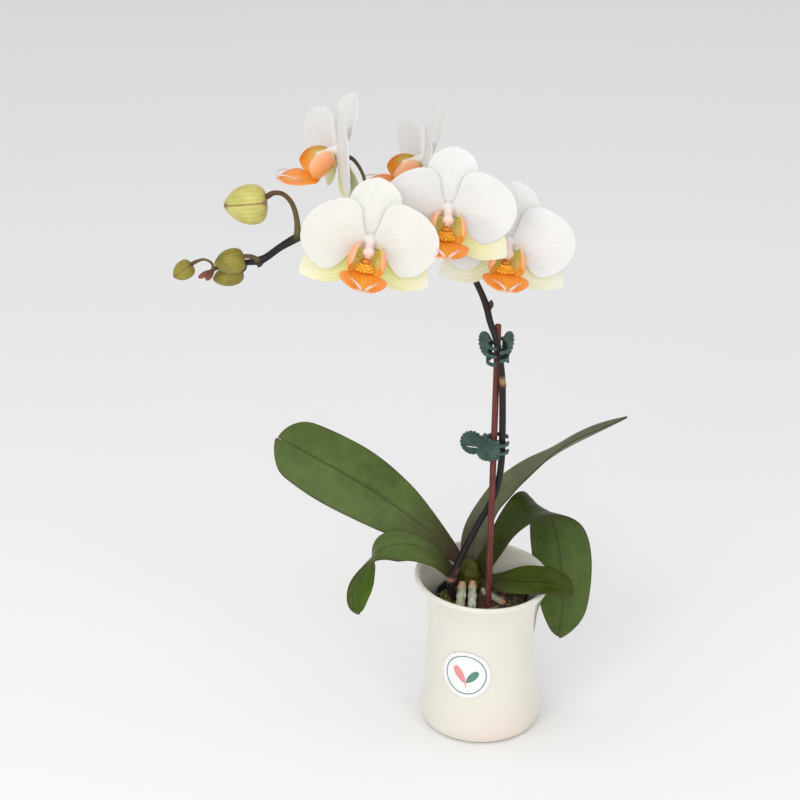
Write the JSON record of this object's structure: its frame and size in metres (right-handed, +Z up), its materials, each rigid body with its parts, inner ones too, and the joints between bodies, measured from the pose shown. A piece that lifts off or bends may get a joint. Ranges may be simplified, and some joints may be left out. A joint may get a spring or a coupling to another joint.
{
  "type": "potted phalaenopsis orchid",
  "caption": "Moth orchid in a waisted ivory ceramic pot: strap leaves, an arching spike with white and orange flowers and green buds, and a stake with spring claw clips.",
  "frame": {"origin": "centre of the flat underside of the ceramic pot", "axes": "+Z up, the flowers face -Y, the flower spike arches towards -X"},
  "size_m": [0.2865, 0.1808, 0.423],
  "materials": {
    "glazed_ceramic": "gloss",
    "label_vinyl": "satin",
    "dark_plastic": "satin",
    "bark_and_moss": "matte",
    "leaf_green": "satin",
    "spike_purple": "satin",
    "stake_red": "satin",
    "root_grey": "matte",
    "bud_green": "satin",
    "petal_white": "satin",
    "sepal_cream": "satin",
    "lip_orange": "satin",
    "column_white": "satin",
    "clip_plastic": "satin",
    "spring_wire": "polished"
  },
  "bodies": {
    "plant": {"bud_a": "bud_green", "bud_b": "bud_green", "bud_c": "bud_green", "bud_d": "bud_green", "clip_lower_fixed_jaw": "clip_plastic", "clip_lower_spring": "spring_wire", "clip_upper_fixed_jaw": "clip_plastic", "clip_upper_spring": "spring_wire", "crown": "leaf_green", "flower_1_column": "column_white", "flower_1_dorsal_sepal": "petal_white", "flower_1_lateral_sepal_left": "sepal_cream", "flower_1_lateral_sepal_right": "sepal_cream", "flower_1_lip": "lip_orange", "flower_1_petal_left": "petal_white", "flower_1_petal_right": "petal_white", "flower_2_column": "column_white", "flower_2_dorsal_sepal": "petal_white", "flower_2_lateral_sepal_left": "sepal_cream", "flower_2_lateral_sepal_right": "sepal_cream", "flower_2_lip": "lip_orange", "flower_2_petal_left": "petal_white", "flower_2_petal_right": "petal_white", "flower_3_column": "column_white", "flower_3_dorsal_sepal": "petal_white", "flower_3_lateral_sepal_left": "sepal_cream", "flower_3_lateral_sepal_right": "sepal_cream", "flower_3_lip": "lip_orange", "flower_3_petal_left": "petal_white", "flower_3_petal_right": "petal_white", "flower_4_column": "column_white", "flower_4_dorsal_sepal": "petal_white", "flower_4_lateral_sepal_left": "sepal_cream", "flower_4_lateral_sepal_right": "sepal_cream", "flower_4_lip": "lip_orange", "flower_4_petal_left": "petal_white", "flower_4_petal_right": "petal_white", "flower_5_column": "column_white", "flower_5_dorsal_sepal": "petal_white", "flower_5_lateral_sepal_left": "sepal_cream", "flower_5_lateral_sepal_right": "sepal_cream", "flower_5_lip": "lip_orange", "flower_5_petal_left": "petal_white", "flower_5_petal_right": "petal_white", "flower_spike": "spike_purple", "label": "label_vinyl", "leaf_a": "leaf_green", "leaf_b": "leaf_green", "leaf_c": "leaf_green", "leaf_d": "leaf_green", "leaf_e": "leaf_green", "nursery_pot": "dark_plastic", "pot": "glazed_ceramic", "potting_mix": "bark_and_moss", "root_a": "root_grey", "root_b": "root_grey", "root_c": "root_grey", "stake": "stake_red"},
    "clip_upper_jaw": {"clip_upper_moving_jaw": "clip_plastic"},
    "clip_lower_jaw": {"clip_lower_moving_jaw": "clip_plastic"}
  },
  "joints": [
    {"name": "clip_upper_hinge", "type": "hinge", "parent": "plant", "child": "clip_upper_jaw", "pos_m": [0.0067, -0.0082, 0.266], "axis": [0, 0, -1], "range_deg": [0, 35], "stiffness_Nm_per_rad": 0.02, "springref_deg": -20.05, "deforming": ["clip_upper_spring"]},
    {"name": "clip_lower_hinge", "type": "hinge", "parent": "plant", "child": "clip_lower_jaw", "pos_m": [0.0002, -0.0136, 0.202], "axis": [0, 0, -1], "range_deg": [0, 35], "stiffness_Nm_per_rad": 0.02, "springref_deg": -20.05, "deforming": ["clip_lower_spring"]}
  ]
}
